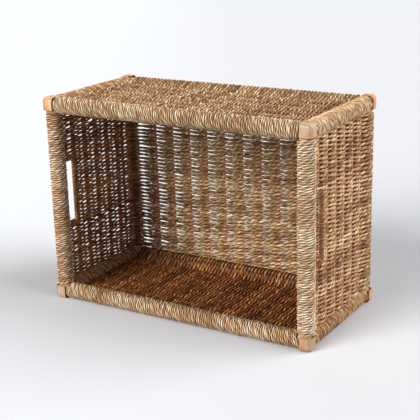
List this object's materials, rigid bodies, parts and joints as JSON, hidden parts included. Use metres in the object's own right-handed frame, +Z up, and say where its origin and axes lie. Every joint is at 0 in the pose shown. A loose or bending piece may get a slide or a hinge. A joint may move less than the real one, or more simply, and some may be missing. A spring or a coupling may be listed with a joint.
{
  "type": "storage basket",
  "caption": "Rectangular open basket of woven seagrass panels on a cord-wrapped rattan frame, with hand holds in its end panels, lying on one long side.",
  "frame": {"origin": "on the surface the basket lies on, in the middle of its footprint", "axes": "+Z up, +X along the length to the viewer's right, +Y from the open mouth to the closed base"},
  "size_m": [0.43, 0.2126, 0.3097],
  "materials": {
    "rattan_pole": "matte",
    "seagrass_cord": "matte",
    "seagrass_weave": "matte",
    "rattan_stake": "matte",
    "peeled_cane": "satin",
    "nail_steel": "satin"
  },
  "bodies": {
    "root": {"front_top_pole": "rattan_pole", "front_bottom_pole": "rattan_pole", "back_top_pole": "rattan_pole", "back_bottom_pole": "rattan_pole", "front_left_pole": "rattan_pole", "front_right_pole": "rattan_pole", "back_left_pole": "rattan_pole", "back_right_pole": "rattan_pole", "top_left_pole": "rattan_pole", "top_right_pole": "rattan_pole", "bottom_left_pole": "rattan_pole", "bottom_right_pole": "rattan_pole", "front_top_wrap": "seagrass_cord", "front_bottom_wrap": "seagrass_cord", "back_top_wrap": "seagrass_cord", "back_bottom_wrap": "seagrass_cord", "front_left_wrap": "seagrass_cord", "front_right_wrap": "seagrass_cord", "back_left_wrap": "seagrass_cord", "back_right_wrap": "seagrass_cord", "top_left_wrap": "seagrass_cord", "top_right_wrap": "seagrass_cord", "bottom_left_wrap": "seagrass_cord", "bottom_right_wrap": "seagrass_cord", "top_weave": "seagrass_weave", "bottom_weave": "seagrass_weave", "left_weave": "seagrass_weave", "right_weave": "seagrass_weave", "back_weave": "seagrass_weave", "top_stakes": "rattan_stake", "bottom_stakes": "rattan_stake", "left_stakes": "rattan_stake", "right_stakes": "rattan_stake", "back_stakes": "rattan_stake", "left_handle_rim": "seagrass_cord", "right_handle_rim": "seagrass_cord", "front_top_left_binding": "peeled_cane", "front_top_right_binding": "peeled_cane", "front_bottom_left_binding": "peeled_cane", "front_bottom_right_binding": "peeled_cane", "back_top_left_binding": "peeled_cane", "back_top_right_binding": "peeled_cane", "back_bottom_left_binding": "peeled_cane", "back_bottom_right_binding": "peeled_cane", "front_top_left_nails": "nail_steel", "front_top_right_nails": "nail_steel", "front_bottom_left_nails": "nail_steel", "front_bottom_right_nails": "nail_steel", "back_top_left_nails": "nail_steel", "back_top_right_nails": "nail_steel", "back_bottom_left_nails": "nail_steel", "back_bottom_right_nails": "nail_steel"}
  },
  "joints": []
}
